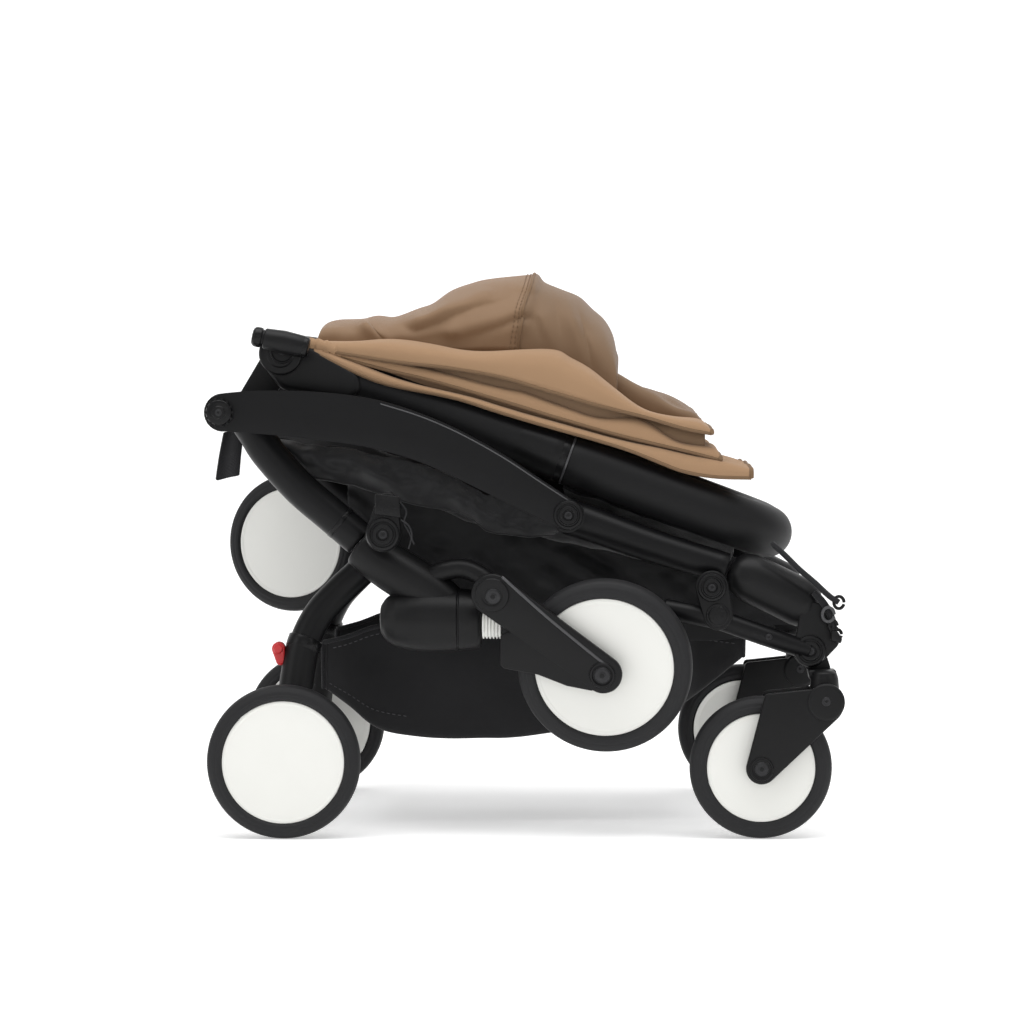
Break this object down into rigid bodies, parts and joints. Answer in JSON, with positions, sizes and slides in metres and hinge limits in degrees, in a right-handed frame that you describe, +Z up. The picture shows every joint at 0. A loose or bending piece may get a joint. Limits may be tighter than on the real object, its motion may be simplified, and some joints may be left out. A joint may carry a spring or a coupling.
{
  "type": "baby stroller",
  "caption": "Compact baby stroller in its folded, free-standing state, with a swinging push bar, folding canopy, sprung leg wheel, swivel casters and an under-seat basket.",
  "frame": {"origin": "centre of the footprint on the floor, under the middle of the bounding box", "axes": "+X forward towards the casters, +Y across towards the stowed wheel's side, +Z up"},
  "size_m": [0.5946, 0.4781, 0.516],
  "materials": {
    "black_metal": "matte powder coat",
    "black_plastic": "fine grain",
    "grip_foam": "soft matte grip",
    "black_fabric": "woven",
    "tan_fabric": "woven twill",
    "tyre": "matte",
    "white_disc": "satin",
    "white_spring": "satin",
    "red_plastic": "satin"
  },
  "bodies": {
    "chassis": {"side_arch_near": "black_metal", "side_arch_far": "black_metal", "leg_tube_near": "black_metal", "leg_tube_far": "black_metal", "rear_cross_tube": "black_metal", "seat_cross_tube": "black_metal", "stow_boss": "black_metal", "front_tube_near": "black_metal", "front_tube_far": "black_metal", "front_link_near": "black_metal", "front_link_far": "black_metal", "hinge_bracket_near": "black_plastic", "hinge_bracket_far": "black_plastic", "knee_bracket_near": "black_plastic", "knee_bracket_far": "black_plastic", "front_sleeve_near": "black_plastic", "front_sleeve_far": "black_plastic", "front_lug_near": "black_plastic", "front_lug_far": "black_plastic", "pivot_plate_near": "black_plastic", "pivot_plate_far": "black_plastic", "seat": "black_fabric", "basket": "black_fabric", "rear_strap": "black_fabric"},
    "push_bar": {"bar_arm_near": "black_metal", "bar_arm_far": "black_metal", "bar_grip": "grip_foam", "bar_hub_near": "black_plastic", "bar_hub_far": "black_plastic"},
    "canopy_base": {"canopy_clamp_near": "black_plastic", "canopy_clamp_far": "black_plastic", "canopy_lower_layer": "tan_fabric", "canopy_middle_layer": "tan_fabric"},
    "canopy_top": {"canopy_hood": "tan_fabric"},
    "rear_legs": {"rear_leg_near": "black_metal", "rear_leg_far": "black_metal", "rear_axle": "black_metal", "rear_pivot_tube": "black_metal"},
    "brake": {"brake_pedal": "red_plastic"},
    "caster_brackets": {"caster_bracket_near": "black_plastic", "caster_bracket_far": "black_plastic", "bracket_cross_bar": "black_metal"},
    "mid_leg": {"knee_body": "black_plastic", "suspension_spring": "white_spring"},
    "suspension_arm": {"mid_fork": "black_plastic"},
    "swing_arm": {"stow_arm": "black_plastic"},
    "fork_near": {"caster_fork_near": "black_plastic"},
    "fork_far": {"caster_fork_far": "black_plastic"},
    "rear_wheel_near": {"rear_wheel_near_tyre": "tyre", "rear_wheel_near_disc": "white_disc"},
    "rear_wheel_far": {"rear_wheel_far_tyre": "tyre", "rear_wheel_far_disc": "white_disc"},
    "caster_wheel_near": {"caster_wheel_near_tyre": "tyre", "caster_wheel_near_disc": "white_disc"},
    "caster_wheel_far": {"caster_wheel_far_tyre": "tyre", "caster_wheel_far_disc": "white_disc"},
    "mid_wheel": {"mid_wheel_tyre": "tyre", "mid_wheel_disc": "white_disc"},
    "stowed_wheel": {"stowed_wheel_tyre": "tyre", "stowed_wheel_disc": "white_disc"}
  },
  "joints": [
    {"name": "push_bar_fold", "type": "hinge", "parent": "chassis", "child": "push_bar", "pos_m": [-0.2117, -0.0085, 0.438], "axis": [0, -1, 0], "range_deg": [0, 125]},
    {"name": "canopy_hinge", "type": "hinge", "parent": "push_bar", "child": "canopy_base", "pos_m": [-0.2097, -0.0085, 0.45], "axis": [0, -1, 0], "range_deg": [0, 30]},
    {"name": "canopy_top_hinge", "type": "hinge", "parent": "canopy_base", "child": "canopy_top", "pos_m": [-0.2097, -0.0085, 0.45], "axis": [0, -1, 0], "range_deg": [0, 30]},
    {"name": "frame_fold", "type": "hinge", "parent": "chassis", "child": "rear_legs", "pos_m": [-0.1167, -0.0085, 0.275], "axis": [0, -1, 0], "range_deg": [0, 22]},
    {"name": "caster_bracket_fold", "type": "hinge", "parent": "chassis", "child": "caster_brackets", "pos_m": [0.269, -0.0085, 0.1686], "axis": [0, -1, 0], "range_deg": [0, 35]},
    {"name": "mid_leg_lift", "type": "hinge", "parent": "chassis", "child": "mid_leg", "pos_m": [-0.1167, -0.1845, 0.275], "axis": [0, -1, 0], "range_deg": [0, 10]},
    {"name": "mid_suspension", "type": "hinge", "parent": "mid_leg", "child": "suspension_arm", "pos_m": [-0.0161, -0.2085, 0.2245], "axis": [0, -1, 0], "range_deg": [0, 4], "stiffness_Nm_per_rad": 8},
    {"name": "stowed_arm_swing", "type": "hinge", "parent": "chassis", "child": "swing_arm", "pos_m": [-0.2217, 0.2205, 0.337], "axis": [0.342, 0.9397, 0], "range_deg": [0, 45]},
    {"name": "brake_pedal_press", "type": "hinge", "parent": "rear_legs", "child": "brake", "pos_m": [-0.2107, -0.1585, 0.1715], "axis": [0, 1, 0], "range_deg": [0, 15]},
    {"name": "caster_swivel_near", "type": "hinge", "parent": "caster_brackets", "child": "fork_near", "pos_m": [0.2811, -0.2045, 0.133], "axis": [0, 0, 1], "continuous": true},
    {"name": "caster_wheel_spin_near", "type": "hinge", "parent": "fork_near", "child": "caster_wheel_near", "pos_m": [0.2238, -0.2045, 0.0644], "axis": [0, 1, 0], "continuous": true},
    {"name": "rear_wheel_spin_near", "type": "hinge", "parent": "rear_legs", "child": "rear_wheel_near", "pos_m": [-0.2069, -0.2135, 0.0695], "axis": [0, 1, 0], "continuous": true},
    {"name": "caster_swivel_far", "type": "hinge", "parent": "caster_brackets", "child": "fork_far", "pos_m": [0.2811, 0.1875, 0.133], "axis": [0, 0, 1], "continuous": true},
    {"name": "caster_wheel_spin_far", "type": "hinge", "parent": "fork_far", "child": "caster_wheel_far", "pos_m": [0.2238, 0.1875, 0.0644], "axis": [0, 1, 0], "continuous": true},
    {"name": "rear_wheel_spin_far", "type": "hinge", "parent": "rear_legs", "child": "rear_wheel_far", "pos_m": [-0.2069, 0.1965, 0.0695], "axis": [0, 1, 0], "continuous": true},
    {"name": "mid_wheel_spin", "type": "hinge", "parent": "suspension_arm", "child": "mid_wheel", "pos_m": [0.0832, -0.2115, 0.1568], "axis": [0.0881, 0.9877, 0.1292], "continuous": true},
    {"name": "stowed_wheel_spin", "type": "hinge", "parent": "swing_arm", "child": "stowed_wheel", "pos_m": [-0.2292, 0.2035, 0.2505], "axis": [0.342, 0.9397, 0], "continuous": true}
  ],
  "couplings": [
    {"joint": "caster_bracket_fold", "follows": "frame_fold", "ratio": 1.59}
  ]
}
